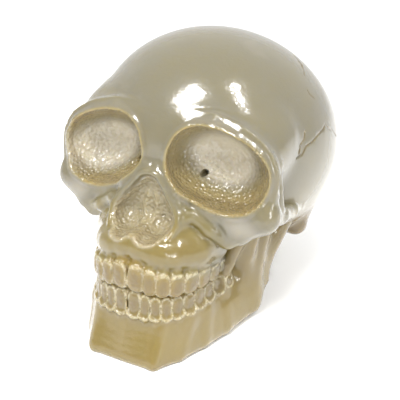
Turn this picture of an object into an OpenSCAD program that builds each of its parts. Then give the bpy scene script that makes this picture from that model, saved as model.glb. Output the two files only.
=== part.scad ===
// Bubbling skull ornament for an aquarium.
// A hollow, tinted resin skull stands over a small submersible unit. The unit holds the lights and
// the air stone, and it fills the skull with light and bubbles, which leave through ports at the
// back of the eye sockets and nose. The skull lifts straight up off the unit.
// Millimetres. +Z is up, the face looks along -Y, and +X is the skull's own left side.
// The origin is on the floor, at the middle of the whole ornament's outline.

/* [Brain case] */
// Full width of the brain case
case_w = 73.6; // [72:0.2:75]
// Full length of the brain case, along its own tilted axis
case_l = 94; // [93:0.2:96]
// Full height of the brain case, across its own tilted axis
case_h = 67.8; // [66:0.2:69]
// How far the brain case leans back, brow up
case_tilt = 21.6; // [20:0.1:23]
// Height of the brain case's centre over the floor
case_z = 45.4; // [45.2:0.1:46]
// How far the brain case's centre is behind the origin
case_y = 8.7; // [8:0.1:9]
// Thickness of the brain case's wall
wall = 5; // [4.5:0.25:5.5]

/* [Eye sockets and nose] */
// Half of an eye socket's width
socket_rx = 13.7; // [13:0.1:14.2]
// Half of an eye socket's height
socket_rz = 10.2; // [9.5:0.1:10.6]
// Depth of an eye socket
socket_depth = 12.5; // [11:0.5:13.5]
// How far an eye socket's outer end droops, in degrees
socket_droop = 18; // [10:1:24]
// Thickness of the wall behind an eye socket
socket_wall = 3; // [2.5:0.25:3.5]
// Radius of each bubble port
port_r = 1.3; // [1:0.1:1.6]

/* [Teeth] */
// Upper teeth in one half of the row
teeth_half = 8; // [7:1:8]
// Lower teeth in one half of the row, which are narrower
lower_half = 10; // [8:1:10]
// Height of the line where the two rows meet, at the front
bite_z = 21; // [20.6:0.1:21.4]
// Height of the lower gum line
lower_gum_z = 13.6; // [13:0.1:14]
// Height of the upper gum line at the front
upper_gum_z = 29.4; // [28.8:0.1:30]

/* [Light and air unit] */
// How far the unit's centre is behind the origin
unit_y = 11; // [10.5:0.1:11.5]
// Radius of the unit's foot, which the skull's ring sits on
foot_r = 15; // [15:0.1:15.2]
// Height of the foot's top over the floor
foot_top = 9; // [8.95:0.05:9]
// Radius of the unit's neck, which goes up into the skull
neck_r = 13.8; // [13.7:0.05:13.9]
// Height of the neck's top over the floor
neck_top = 19; // [19:0.1:19.4]
// Lights on the circuit board
led_count = 6; // [4:1:6]
// Radius of the airline inlet, for hose of 4 mm bore
inlet_r = 2.15; // [2.1:0.05:2.2]
// Radius of the hole for the lead in the cable gland
lead_r = 1.5; // [1.2:0.1:1.6]
// Radius of the air stone
stone_r = 5.2; // [4.5:0.1:6]
// Length of the air stone
stone_l = 12; // [10:0.5:15]

/* [Hidden] */

// Facets: round pieces of the unit, the brain case, bones, and teeth
$fn = 48;
case_fn = 44;
bone_fn = 14;
tooth_fn = 10;

// Colours of the finishes
resin_grey = [0.78, 0.76, 0.68];
resin_amber = [0.74, 0.66, 0.42];
plastic_white = [0.93, 0.93, 0.91];
rubber_clear = [0.86, 0.88, 0.88];
board_green = [0.16, 0.42, 0.26];
steel = [0.75, 0.76, 0.78];

// Plane where the face is bonded on, and plane where the brain case is bonded to the skull's base
seam_y = -20;
seam_z = 38;

// Skull -----------------------------------------------------------------------------------------
// Bones are chains of balls, each given as [x, y, z, radius]. The left half is given.
brow = [[0, -30.4, 60, 4.4], [7, -31.4, 62.8, 3.4], [14, -31.4, 63.4, 3], [20, -30.2, 61.8, 3],
    [25.6, -28.8, 57, 2.8]];
orbit_side = [[25.6, -28.8, 57, 2.8], [28.4, -28.8, 51.6, 2.8], [29.4, -29.4, 46, 3], [28.4, -30.6, 41.4, 4]];
cheekbone = [[28.4, -30.6, 41.4, 4], [21, -33, 34.6, 3.2], [12, -36, 38.4, 3.6]];
nose_side = [[2.6, -35.4, 51.4, 3], [7.6, -38, 45, 2.4], [9.8, -39.4, 39.4, 2.4], [8.6, -41, 34.6, 2.4],
    [3, -42.2, 32.6, 2.4]];
nose_root = [[0, -30.4, 60, 4.4], [0, -35, 52, 3.4]];
cheek_arch = [[28.4, -30.6, 41.4, 4], [30.4, -20, 38.2, 3], [30.2, -10, 35.2, 2.8], [28, 2, 32.6, 3.6]];
mastoid = [[25.6, 13, 30, 6.5], [27.4, 9.4, 21.2, 3.8]];

// Solid masses of the face, each the hull of its balls, from the rims back to the brain case
face_masses = [
    [[7, -31.4, 62.8, 3.4], [20, -30.2, 61.8, 3], [25.6, -28.8, 57, 2.8], [14, -12, 56, 9]],
    [[25.6, -28.8, 57, 2.8], [29.4, -29.4, 46, 3], [28.4, -30.6, 41.4, 4], [19, -16, 50, 10]],
    [[28.4, -30.6, 41.4, 4], [21, -33, 34.6, 3.2], [12, -36, 38.4, 3.6], [14, -20, 42, 9]],
    [[0, -32.4, 56, 4], [0, -36.6, 47, 4], [7, -36, 42, 4], [0, -18, 50, 9]]
];

// The tooth rows stand on a blunt arch that is wide at the back
arch_w = 17.8;
arch_front = -51;
arch_back = -17;
arch_power = 3;
arch_spread = 80;

function arch_angle(u) = arch_spread * pow(u, 0.83);
function arch_reach(a) = pow(pow(sin(a), arch_power) + pow(cos(a), arch_power), -1 / arch_power);
function arch_x(u) = arch_w * sin(arch_angle(u)) * arch_reach(arch_angle(u));
function arch_y(u) = arch_back + (arch_front - arch_back) * cos(arch_angle(u)) * arch_reach(arch_angle(u));
// Where tooth i of n stands, and the step along the row from one side of it to the other
function tooth_u(i, n) = (i + 0.5) / n;
function tooth_step(i, n) = [
    arch_x(tooth_u(i + 0.5, n)) - arch_x(tooth_u(i - 0.5, n)),
    arch_y(tooth_u(i + 0.5, n)) - arch_y(tooth_u(i - 0.5, n))];
function tooth_half_w(i, n) = norm(tooth_step(i, n)) / 2;
function tooth_turn(i, n) = atan2(tooth_step(i, n)[1], tooth_step(i, n)[0]);
// Both the upper gum and the bite drop towards the cheeks
function upper_gum(u) = upper_gum_z - 7 * u;
function bite(u) = bite_z - 3 * u;

// Jaw stations: low ball and high ball, from the chin back to the angle of the jaw
jaw_low = [[0, -50.8, 2.8, 3.4], [8.4, -50.4, 2.8, 3.4], [10.8, -43.8, 3.4, 4], [14.2, -37, 4, 4.2],
    [17.2, -28, 4, 4.2], [20.8, -14, 4.4, 4]];
jaw_high = [[0, -47.4, 11.2, 3.4], [8.2, -46, 11.2, 3.4], [12.6, -41, 11.2, 3.4], [14.4, -34.6, 11.4, 3.4],
    [14.8, -27, 11.6, 3.4], [18.8, -18.6, 14, 3.2]];
ramus_back = [[20.8, -14, 4.4, 4], [21.8, -8.4, 9, 3.6], [22.4, -7.4, 16, 3.4], [25.8, -1, 28, 3.4]];
ramus_front = [[18.8, -18.6, 14, 3.2], [20.4, -18, 22, 2.8], [22.4, -16, 31, 2.4]];

module ball(p) {
    translate([p[0], p[1], p[2]]) sphere(r = p[3], $fn = bone_fn);
}

module bone(points) {
    for (i = [0 : len(points) - 2])
        hull() {
            ball(points[i]);
            ball(points[i + 1]);
        }
}

module both_sides() {
    children();
    mirror([1, 0, 0]) children();
}

// The brain case's ellipsoid, pulled in by inset all round
module case_egg(inset) {
    translate([0, case_y, case_z])
        rotate([-case_tilt, 0, 0])
            scale([case_w / 2 - inset, case_l / 2 - inset, case_h / 2 - inset])
                sphere(r = 1, $fn = case_fn);
}

// One eye socket's bowl, grown by grow all round
module socket_bowl(grow) {
    translate([16.6, -33.8, 52.4])
        rotate([-6, socket_droop, 0])
            scale([socket_rx + grow, socket_depth + grow, socket_rz + grow])
                sphere(r = 1, $fn = 32);
}

// Half of the nose opening's heart shape, grown by grow
module nose_hollow(grow) {
    hull() {
        translate([0.4, -39, 46.4]) sphere(r = 2 + grow, $fn = bone_fn);
        translate([3.5, -41, 38.2]) sphere(r = 4.3 + grow, $fn = bone_fn);
        translate([3, -33.5, 41]) sphere(r = 3 + grow, $fn = bone_fn);
    }
}

module hull_of(balls) {
    hull()
        for (p = balls) ball(p);
}

// A ball behind the tooth row, at u along it, inset from the row's front
module row_ball(u, inset, z, r) {
    translate([arch_x(u) - inset * sin(arch_angle(u)), arch_y(u) + inset * cos(arch_angle(u)), z])
        sphere(r = r, $fn = bone_fn);
}

// Gum above the upper teeth and the wall behind them
module upper_gums() {
    for (i = [-1 : teeth_half - 2])
        hull()
            for (j = [max(i, -0.5), i + 1]) {
                u = tooth_u(j, teeth_half);
                row_ball(u, 4.2, upper_gum(u) + 2.6, 3.6);
                row_ball(u, 5.4, bite(u) + 2.2, 2);
            }
}

module upper_teeth() {
    for (i = [0 : teeth_half - 1]) {
        u = tooth_u(i, teeth_half);
        length = upper_gum(u) - bite(u) + 1.6;
        translate([arch_x(u), arch_y(u), bite(u) + length / 2])
            rotate([0, 0, tooth_turn(i, teeth_half)])
                translate([0, 2.4, 0])
                    scale([tooth_half_w(i, teeth_half) * 0.98, 2.4, length / 2])
                        sphere(r = 1, $fn = tooth_fn);
    }
}

// The mass of the upper jaw behind the teeth, up to the nose and cheekbones
module upper_jaw() {
    hull_of([for (x = [-1, 1]) each [[13 * x, -22, 29, 4], [12 * x, -42, 32, 4], [13 * x, -24, 41, 6],
        [8 * x, -40, 34, 3], [5 * x, -44.6, 31.6, 4]]]);
}

module skull_bones() {
    both_sides() {
        bone(brow);
        bone(orbit_side);
        bone(cheekbone);
        bone(nose_side);
        bone(cheek_arch);
        bone(mastoid);
        for (mass = face_masses) hull_of(mass);
        upper_gums();
        upper_teeth();
    }
    bone(nose_root);
    upper_jaw();
}

// The boss under the brain case that the ring is bonded into
module ring_boss(r, low, high) {
    translate([0, unit_y, low]) cylinder(r = r, h = high - low, $fn = case_fn);
}

// The hollow inside the brain case, which keeps a wall in front of the sockets and nose
module case_hollow() {
    difference() {
        case_egg(wall);
        both_sides() socket_bowl(socket_wall);
        both_sides() nose_hollow(socket_wall);
    }
}

module bubble_ports() {
    both_sides() translate([9.8, -30, 47.4]) rotate([-90, 0, 0]) cylinder(r = port_r, h = 20, $fn = 16);
    both_sides() translate([3.4, -38, 37]) rotate([-80, 0, 0]) cylinder(r = port_r, h = 26, $fn = 16);
}

// The whole upper skull: brain case, face, cheek arches and upper teeth
module upper_skull() {
    difference() {
        union() {
            case_egg(0);
            skull_bones();
            ring_boss(ring_out_r + 3, ring_low, ring_low + 9);
        }
        both_sides() socket_bowl(0);
        both_sides() nose_hollow(0);
        case_hollow();
        ring_boss(ring_out_r + glue_gap, ring_low - 1, ring_low + 14);
        bubble_ports();
    }
}

// Everything behind the plane where the face is bonded on, from low to high
module behind_seam(low, high) {
    translate([-50, seam_y, low]) cube([100, 100, high - low]);
}

// Upper rear casting: the dome of the brain case
module brain_case() {
    color(resin_grey)
        intersection() {
            upper_skull();
            behind_seam(seam_z, 100);
        }
}

// Lower rear casting: the floor of the brain case, the ring's boss and the ends of the cheek arches
module skull_base() {
    color(resin_grey)
        intersection() {
            upper_skull();
            behind_seam(0, seam_z);
        }
}

// Front casting: brow, eye sockets, nose, cheeks and upper teeth
module face() {
    color(resin_grey)
        difference() {
            upper_skull();
            behind_seam(-10, 110);
        }
}

module lower_teeth() {
    for (i = [0 : lower_half - 1]) {
        u = tooth_u(i, lower_half);
        length = bite(u) - lower_gum_z + 1.2;
        translate([arch_x(u), arch_y(u), bite(u) - length / 2 - 0.2])
            rotate([0, 0, tooth_turn(i, lower_half)])
                translate([0, 2.8, 0])
                    scale([tooth_half_w(i, lower_half) * 0.96, 2.2, length / 2])
                        sphere(r = 1, $fn = tooth_fn);
    }
    // Wall behind the teeth
    for (i = [-1 : teeth_half - 2])
        hull()
            for (j = [max(i, -0.5), i + 1]) {
                u = tooth_u(j, teeth_half);
                row_ball(u, 5.2, lower_gum_z - 1, 2.4);
                row_ball(u, 5.6, bite(u) - 2.4, 1.8);
            }
}

// Lower casting: the chin, both sides of the jaw and the lower teeth
module jaw() {
    color(resin_amber)
        difference() {
            both_sides() {
                for (i = [0 : len(jaw_low) - 2])
                    hull() {
                        ball(jaw_low[i]);
                        ball(jaw_high[i]);
                        ball(jaw_low[i + 1]);
                        ball(jaw_high[i + 1]);
                    }
                for (i = [0 : len(ramus_front) - 2])
                    hull() {
                        ball(ramus_back[i]);
                        ball(ramus_front[i]);
                        ball(ramus_back[i + 1]);
                        ball(ramus_front[i + 1]);
                    }
                bone([ramus_back[2], ramus_back[3]]);
                lower_teeth();
            }
            // The jaw stands flat on the floor
            translate([-50, -80, -20]) cube([100, 120, 20]);
        }
}

// Light and air unit ------------------------------------------------------------------------------
glue_gap = 0.1;
ring_low = 9.2;
ring_high = 16.6;
ring_in_r = 14.2;
ring_out_r = 17.4;

plate_low = 2.4;
plate_high = 4;
gasket_high = 4.5;
chamber_r = 12;
ledge_r = 10.6;
ledge_z = 15.8;
throat_z = 14;
seat_r = 12.4;
board_z = 12;
board_t = 1;
board_top = board_z + board_t;
part_ring_r = 7.6;
boss_ring_r = 10.3;
screw_angles = [30, 150, 270];
cup_angles = [90, 210, 330];
duct_r = 2;
bore_r = 1.1;
inlet_z = 6.45;
stub_r = 1.85;
pad_y = 15.6;
tail_y = 17.5;
gland_x = -7;
gland_z = 6.6;
gland_inner_y = 10.4;

module at_unit() {
    translate([0, unit_y, 0]) children();
}

// A tube along +Z from low to high
module tube(r_out, r_in, low, high) {
    translate([0, 0, low])
        difference() {
            cylinder(r = r_out, h = high - low);
            translate([0, 0, -1]) cylinder(r = r_in, h = high - low + 2);
        }
}

// Copies round the unit's axis
module around(angles, radius) {
    for (a = angles) rotate([0, 0, a]) translate([radius, 0, 0]) children();
}

// Round piece that points out of the unit's back, along +Y, from y0 to y1
module backward(x, z, r, y0, y1) {
    translate([x, y0, z]) rotate([-90, 0, 0]) cylinder(r = r, h = y1 - y0);
}

// Moulded ring bonded into the skull's underside: the socket for the unit's neck
module socket_ring() {
    color(rubber_clear) at_unit() tube(ring_out_r, ring_in_r, ring_low, ring_high);
}

module unit_housing() {
    color(plastic_white) at_unit()
        difference() {
            union() {
                translate([0, 0, gasket_high]) cylinder(r = foot_r, h = foot_top - gasket_high);
                translate([0, 0, foot_top]) cylinder(r = neck_r, h = neck_top - foot_top);
                translate([-12.5, 6, gasket_high]) cube([17, pad_y - 6, foot_top - gasket_high]);
            }
            difference() {
                translate([0, 0, gasket_high - 1]) cylinder(r = chamber_r, h = throat_z - gasket_high + 1);
                around(screw_angles, boss_ring_r)
                    translate([0, 0, gasket_high - 2]) cylinder(r = 1.9, h = board_z - gasket_high + 2);
            }
            translate([0, 0, throat_z - 1]) cylinder(r = ledge_r, h = neck_top);
            translate([0, 0, ledge_z]) cylinder(r = seat_r, h = neck_top);
            backward(0, inlet_z, stub_r + 0.05, 8, pad_y + 1);
            backward(gland_x, gland_z, stub_r + 0.05, 8, pad_y + 1);
            around(screw_angles, boss_ring_r)
                translate([0, 0, gasket_high - 1]) cylinder(r = 0.8, h = 5);
        }
}

module base_plate() {
    color(plastic_white) at_unit()
        difference() {
            translate([0, 0, plate_low]) cylinder(r = foot_r, h = plate_high - plate_low);
            around(screw_angles, boss_ring_r) {
                translate([0, 0, plate_low - 1]) cylinder(r = 0.9, h = 4);
                translate([0, 0, plate_low - 1]) cylinder(r = 1.6, h = 2);
            }
            around(cup_angles, boss_ring_r)
                translate([0, 0, plate_low - 1]) cylinder(r = 1.5, h = 2);
        }
}

module base_gasket() {
    color(rubber_clear) at_unit() tube(14.6, 12.6, plate_high, gasket_high);
}

// Three suction cups, each with a stem pressed into the base plate
module suction_cups() {
    color(rubber_clear) at_unit()
        around(cup_angles, boss_ring_r)
            rotate_extrude()
                polygon([[0, 1], [1.6, 0.8], [4.4, 0], [4.9, 0], [4.6, 0.7], [1.8, 2.3],
                    [1.45, 2.4], [1.45, 3.3], [0, 3.3]]);
}

module cover_screws() {
    color(steel) at_unit()
        around(screw_angles, boss_ring_r)
            difference() {
                union() {
                    translate([0, 0, plate_low + 0.1]) cylinder(r = 1.5, h = 0.9);
                    translate([0, 0, plate_low + 0.1]) cylinder(r = 0.75, h = 6);
                }
                for (a = [0, 90])
                    rotate([0, 0, a]) translate([-1, -0.2, plate_low]) cube([2, 0.4, 0.6]);
            }
}

module led_board() {
    color(board_green) at_unit() tube(11.7, 2.4, board_z, board_top);
}

// Surface-mounted lights, each a body with a raised window
module led_chips() {
    color(plastic_white) at_unit()
        around([for (i = [0 : led_count - 1]) i * 360 / led_count], part_ring_r)
            translate([0, 0, board_top]) {
                translate([-1.4, -1.75, 0]) cube([2.8, 3.5, 1.2]);
                translate([0, 0, 1.2]) cylinder(r = 1.2, h = 0.4);
            }
}

module colour_controller() {
    color([0.12, 0.12, 0.13]) at_unit()
        rotate([0, 0, 30]) translate([part_ring_r, 0, board_top]) {
            translate([-1.2, -1, 0]) cube([2.4, 2, 1]);
            for (x = [-0.8, 0, 0.8])
                for (side = [-1, 1])
                    translate([x - 0.15, side * 1.25 - 0.25, 0]) cube([0.3, 0.5, 0.3]);
        }
}

module board_resistors() {
    color([0.2, 0.2, 0.22]) at_unit()
        around([90, 210, 330], part_ring_r)
            translate([-0.5, -0.8, board_top]) cube([1, 1.6, 0.5]);
}

// Two insulated leads from the gland up to the board
module board_leads() {
    bend_y = 8;
    color([0.7, 0.1, 0.1]) at_unit()
        for (dx = [-0.7, 0.7]) {
            translate([gland_x + dx, bend_y, gland_z]) cylinder(r = 0.45, h = board_z - gland_z);
            translate([gland_x + dx, bend_y, gland_z]) sphere(r = 0.45, $fn = 24);
            backward(gland_x + dx, gland_z, 0.45, bend_y, gland_inner_y);
        }
}

// Clear epoxy over the board, with a pocket round each part
module potting() {
    color([0.9, 0.92, 0.88]) at_unit()
        difference() {
            union() {
                translate([0, 0, board_top]) cylinder(r = 11.6, h = throat_z - board_top - 0.1);
                translate([0, 0, board_top]) cylinder(r = ledge_r - 0.1, h = 2.4);
            }
            translate([0, 0, board_z]) cylinder(r = duct_r + 0.1, h = 5);
            around([for (i = [0 : led_count - 1]) i * 360 / led_count], part_ring_r) {
                translate([-1.5, -1.85, board_z]) cube([3, 3.7, 2.3]);
                translate([0, 0, board_z]) cylinder(r = 1.3, h = 5);
            }
            rotate([0, 0, 30]) translate([part_ring_r - 1.3, -1.6, board_z]) cube([2.6, 3.2, 2.1]);
            around([90, 210, 330], part_ring_r) translate([-0.6, -0.9, board_z]) cube([1.2, 1.8, 1.6]);
        }
}

// Clear cap over the lights, domed, with a hole for the air duct
module lens() {
    color([0.92, 0.96, 0.97]) at_unit()
        difference() {
            rotate_extrude()
                polygon([[duct_r + 0.1, 16.6], [12.2, 16.6], [12.2, 17.9], [10.4, 17.9], [9.4, 19.2],
                    [7.4, 20.4], [5, 21.1], [duct_r + 0.1, 21.3]]);
            translate([0, 0, 16]) tube(9, 3.6, 0, 2.4);
        }
}

module lens_seal() {
    color(rubber_clear) at_unit()
        rotate_extrude() translate([11.5, ledge_z + 0.4]) circle(r = 0.4, $fn = 24);
}

module lens_ring() {
    color(plastic_white) at_unit() tube(12.3, 10.6, 17.9, neck_top);
}

// Keeps what is below the foot's top, so that the skull's ring passes over it
module below_ring() {
    intersection() {
        children();
        translate([-20, 0, 0]) cube([40, 40, foot_top]);
    }
}

// Airline inlet: a stub through the housing's wall, a shoulder and a plain tail for the hose
module air_inlet() {
    color(plastic_white) at_unit()
        difference() {
            union() {
                backward(0, inlet_z, stub_r, 11.6, pad_y + 0.7);
                below_ring() backward(0, inlet_z, 2.9, pad_y + 0.7, tail_y);
                backward(0, inlet_z, inlet_r, tail_y, tail_y + 8);
                translate([0, tail_y + 8, inlet_z]) rotate([-90, 0, 0])
                    cylinder(r1 = inlet_r, r2 = inlet_r - 0.5, h = 1.1);
            }
            backward(0, inlet_z, bore_r, 11, tail_y + 10);
        }
}

module inlet_seal() {
    color(rubber_clear) at_unit()
        difference() {
            below_ring() backward(0, inlet_z, 2.7, pad_y, pad_y + 0.7);
            backward(0, inlet_z, stub_r, pad_y - 1, pad_y + 2);
        }
}

// Elbow inside the housing: in from the inlet, up through board, potting and lens
module air_duct() {
    color(plastic_white) at_unit()
        difference() {
            union() {
                translate([0, 0, gasket_high]) cylinder(r = 3, h = 0.8);
                translate([0, 0, gasket_high]) cylinder(r = duct_r, h = 18.8);
                backward(0, inlet_z, 1.8, 0, 11.6);
            }
            translate([0, 0, gasket_high + 0.7]) cylinder(r = bore_r, h = 20);
            backward(0, inlet_z, bore_r, 0, 14);
        }
}

// Soft sleeve that joins the duct to the air stone
module stone_sleeve() {
    color(rubber_clear) at_unit() tube(3, duct_r, 21.6, 27);
}

module stone_nipple() {
    color(plastic_white) at_unit()
        difference() {
            union() {
                translate([0, 0, 24.4]) cylinder(r = duct_r, h = 6);
                translate([0, 0, 27]) cylinder(r = 3.4, h = 0.8);
            }
            translate([0, 0, 24]) cylinder(r = bore_r, h = 7);
        }
}

module air_stone() {
    color([0.55, 0.62, 0.66]) at_unit()
        difference() {
            translate([0, 0, 27.8]) cylinder(r = stone_r, h = stone_l);
            translate([0, 0, 27]) cylinder(r = duct_r, h = 3.5);
            tube(stone_r + 1, stone_r - 0.5, 27, 28.3);
            translate([0, 0, 28.2]) cylinder(r = bore_r, h = 7);
        }
}

module gland_body() {
    color(plastic_white) at_unit()
        difference() {
            union() {
                backward(gland_x, gland_z, stub_r, gland_inner_y, pad_y);
                backward(gland_x, gland_z, 2.3, pad_y, pad_y + 1);
                backward(gland_x, gland_z, 1.95, pad_y + 1, pad_y + 3);
            }
            backward(gland_x, gland_z, lead_r, 9, pad_y + 5);
        }
}

module gland_seal() {
    color([0.15, 0.15, 0.16]) at_unit()
        difference() {
            backward(gland_x, gland_z, 1.95, pad_y + 3, pad_y + 4.4);
            backward(gland_x, gland_z, lead_r, pad_y + 2, pad_y + 5);
        }
}

// Cap nut: six flats, a domed nose and the lead's hole
module gland_nut() {
    color(plastic_white) at_unit()
        difference() {
            union() {
                translate([gland_x, pad_y + 1.1, gland_z]) rotate([-90, 0, 0])
                    cylinder(r = 2.55, h = 2.4, $fn = 6);
                translate([gland_x, pad_y + 3.3, gland_z]) rotate([-90, 0, 0])
                    cylinder(r1 = 2.3, r2 = 1.9, h = 2);
            }
            backward(gland_x, gland_z, 1.98, pad_y, pad_y + 4.4);
            backward(gland_x, gland_z, lead_r, pad_y, pad_y + 7);
        }
}

brain_case();
skull_base();
face();
jaw();
socket_ring();
unit_housing();
base_plate();
base_gasket();
suction_cups();
cover_screws();
led_board();
led_chips();
colour_controller();
board_resistors();
board_leads();
potting();
lens();
lens_seal();
lens_ring();
air_inlet();
inlet_seal();
air_duct();
stone_sleeve();
stone_nipple();
air_stone();
gland_body();
gland_seal();
gland_nut();
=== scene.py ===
# %% [markdown]
# # A bubbling skull ornament
#
# This notebook dresses a small aquarium ornament. A hollow skull, cast in clear resin that has
# aged to amber where it is thick, stands over a sealed unit with lights and an air stone. The CAD
# model already says where every piece is and how the skull lifts off. Here each piece gets the
# shape and the finish that a camera sees.

# %% Load the frame and note the CAD model's own box
import bpy
import bmesh
import math
import numpy as np
from mathutils import Matrix, Vector


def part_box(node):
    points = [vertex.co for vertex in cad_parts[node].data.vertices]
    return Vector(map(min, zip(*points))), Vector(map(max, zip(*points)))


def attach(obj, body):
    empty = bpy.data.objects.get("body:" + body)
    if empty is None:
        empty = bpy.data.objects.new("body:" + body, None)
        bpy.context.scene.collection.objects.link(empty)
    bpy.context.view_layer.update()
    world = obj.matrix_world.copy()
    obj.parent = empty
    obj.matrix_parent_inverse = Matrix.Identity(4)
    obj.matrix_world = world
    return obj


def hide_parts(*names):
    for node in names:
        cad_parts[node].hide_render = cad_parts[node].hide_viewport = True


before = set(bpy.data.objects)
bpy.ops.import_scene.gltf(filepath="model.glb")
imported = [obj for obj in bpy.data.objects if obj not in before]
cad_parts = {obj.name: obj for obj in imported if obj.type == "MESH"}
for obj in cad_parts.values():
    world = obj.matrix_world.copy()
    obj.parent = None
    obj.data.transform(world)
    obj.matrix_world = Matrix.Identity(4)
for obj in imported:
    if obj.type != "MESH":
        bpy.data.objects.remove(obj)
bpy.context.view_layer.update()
MM = 0.001

# %% [markdown]
# ## Where the camera stands
#
# An ornament shows best from a little above and a little to the side: the brain case, both eye
# sockets and the chin are all seen at once. The camera's place is an angle round the model, an
# angle over it and a distance from a point in its middle. A slight roll makes it lean a touch.

# %% Camera
view_turn = math.radians(23.44)
view_rise = math.radians(24.47)
view_roll = math.radians(2.91)
view_distance = 199.3 * MM
lens_length = 58.35
view_target = Vector((1.4, -8.7, 30.6)) * MM

view_back = Vector((math.sin(view_turn) * math.cos(view_rise),
                    -math.cos(view_turn) * math.cos(view_rise),
                    math.sin(view_rise)))
view_right = Vector((math.cos(view_turn), math.sin(view_turn), 0))
view_up = view_back.cross(view_right)
rolled_right = view_right * math.cos(view_roll) + view_up * math.sin(view_roll)
rolled_up = view_back.cross(rolled_right)

camera_data = bpy.data.cameras.new("camera")
camera_data.lens = lens_length
camera_data.sensor_width = 36
camera_data.clip_start = 0.01
camera = bpy.data.objects.new("camera", camera_data)
bpy.context.scene.collection.objects.link(camera)
camera.matrix_world = Matrix((
    (rolled_right.x, rolled_up.x, view_back.x, 0),
    (rolled_right.y, rolled_up.y, view_back.y, 0),
    (rolled_right.z, rolled_up.z, view_back.z, 0),
    (0, 0, 0, 1)))
camera.location = view_target + view_back * view_distance
bpy.context.scene.camera = camera
print("camera at", [round(v, 3) for v in camera.location])

# %% [markdown]
# ## Shapes as distances
#
# Resin is poured into a mould taken from clay, so a casting has no sharp joins: bone runs into
# bone. Blender could build this from a sculpted cage and subdivision, but a cage with sockets,
# teeth and a hollow inside is hard to keep clean. A distance field is simpler. Each lump of clay
# is a formula that says how far a point is from its surface, two lumps are joined by a smooth
# minimum, and a hollow is carved by a smooth maximum. All lengths in these cells are millimetres.

# %% Distance helpers
def length(v):
    return np.sqrt(np.einsum("ij,ij->i", v, v))


def turn(x_degrees=0.0, y_degrees=0.0, z_degrees=0.0):
    """Turns a row of points into an object's own axes, for a turn about X, then Y, then Z."""
    m = (Matrix.Rotation(math.radians(z_degrees), 3, "Z")
         @ Matrix.Rotation(math.radians(y_degrees), 3, "Y")
         @ Matrix.Rotation(math.radians(x_degrees), 3, "X"))
    return np.array(m, np.float32)


def egg(points, centre, radii, axes=None):
    """Distance to an ellipsoid."""
    q = points - np.array(centre, np.float32)
    if axes is not None:
        q = q @ axes
    r = np.array(radii, np.float32)
    k0 = length(q / r)
    k1 = np.maximum(length(q / (r * r)), 1e-6)
    return k0 * (k0 - 1) / k1


def bone(points, balls, blend=0.0):
    """Distance to a chain of balls, each (x, y, z, radius), with straight sides between them."""
    best = None
    for (ax, ay, az, ar), (bx, by, bz, br) in zip(balls, balls[1:]):
        start = np.array((ax, ay, az), np.float32)
        run = np.array((bx - ax, by - ay, bz - az), np.float32)
        from_start = points - start
        t = np.clip(from_start @ run / float(run @ run), 0, 1)
        d = length(from_start - t[:, None] * run) - (ar + (br - ar) * t)
        best = d if best is None else join(best, d, blend)
    return best


def join(a, b, blend):
    """The two shapes together, with a fillet about as wide as blend."""
    if blend <= 0:
        return np.minimum(a, b)
    h = np.clip(0.5 + 0.5 * (b - a) / blend, 0, 1)
    return b + (a - b) * h - blend * h * (1 - h)


def carve(a, b, blend):
    """Shape a with shape b cut away."""
    return -join(-a, b, blend)


def fade(distance, near, far):
    """1 up to near, falling smoothly to 0 at far."""
    t = np.clip((far - distance) / (far - near), 0, 1)
    return t * t * (3 - 2 * t)


def only_near(points, low, high, shape, far=6.0):
    """Works a shape out only for the points in a box, which saves time on small details."""
    inside = np.all((points > np.array(low, np.float32)) & (points < np.array(high, np.float32)), axis=1)
    d = np.full(len(points), far, np.float32)
    if inside.any():
        d[inside] = shape(points[inside])
    return d


print("unit ball's distance at 2 mm:", egg(np.array([[2.0, 0, 0]], np.float32), (0, 0, 0), (1, 1, 1)))

# %% [markdown]
# ## The skull's main sizes
#
# The brain case's place comes from the CAD nodes' boxes: it is the highest, widest and rearmost
# part of them. The bones of the face are given for the skull's left side only. Every field below
# first folds the points over to that side, so left and right match in all but the cracks.

# %% Brain case sizes from the frame
upper_nodes = ("brain_case", "skull_base", "face")
upper_boxes = [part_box(n) for n in upper_nodes]
skull_low = np.min([np.array(low) for low, high in upper_boxes], axis=0) / MM
skull_high = np.max([np.array(high) for low, high in upper_boxes], axis=0) / MM
case_radii = (36.8, 47.0, 33.9)
case_tilt = 21.6
case_axes = turn(x_degrees=-case_tilt)
tilt = math.radians(case_tilt)
case_rise = math.hypot(case_radii[1] * math.sin(tilt), case_radii[2] * math.cos(tilt))
case_reach = math.hypot(case_radii[1] * math.cos(tilt), case_radii[2] * math.sin(tilt))
case_centre = (0.0, skull_high[1] - case_reach, skull_high[2] - case_rise)
ring_low, ring_high = [np.array(corner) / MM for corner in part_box("socket_ring")]
ring_centre_y = (ring_low[1] + ring_high[1]) / 2
ring_radius = (ring_high[0] - ring_low[0]) / 2
wall = 5.0
print("brain case centre", [round(float(v), 1) for v in case_centre])
print("ring radius", round(float(ring_radius), 1))

# %% [markdown]
# ## Bones of the face
#
# A real skull's face is a frame of struts round its openings: the brow, the sides and floor of
# each orbit, the cheekbone with the arch behind it, and the walls of the nose. Sculpting them by
# hand is slow to keep even, so each strut is a short chain of balls, thick where the bone is
# thick. The snout and the ridge over the tooth roots are chains too.

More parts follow.
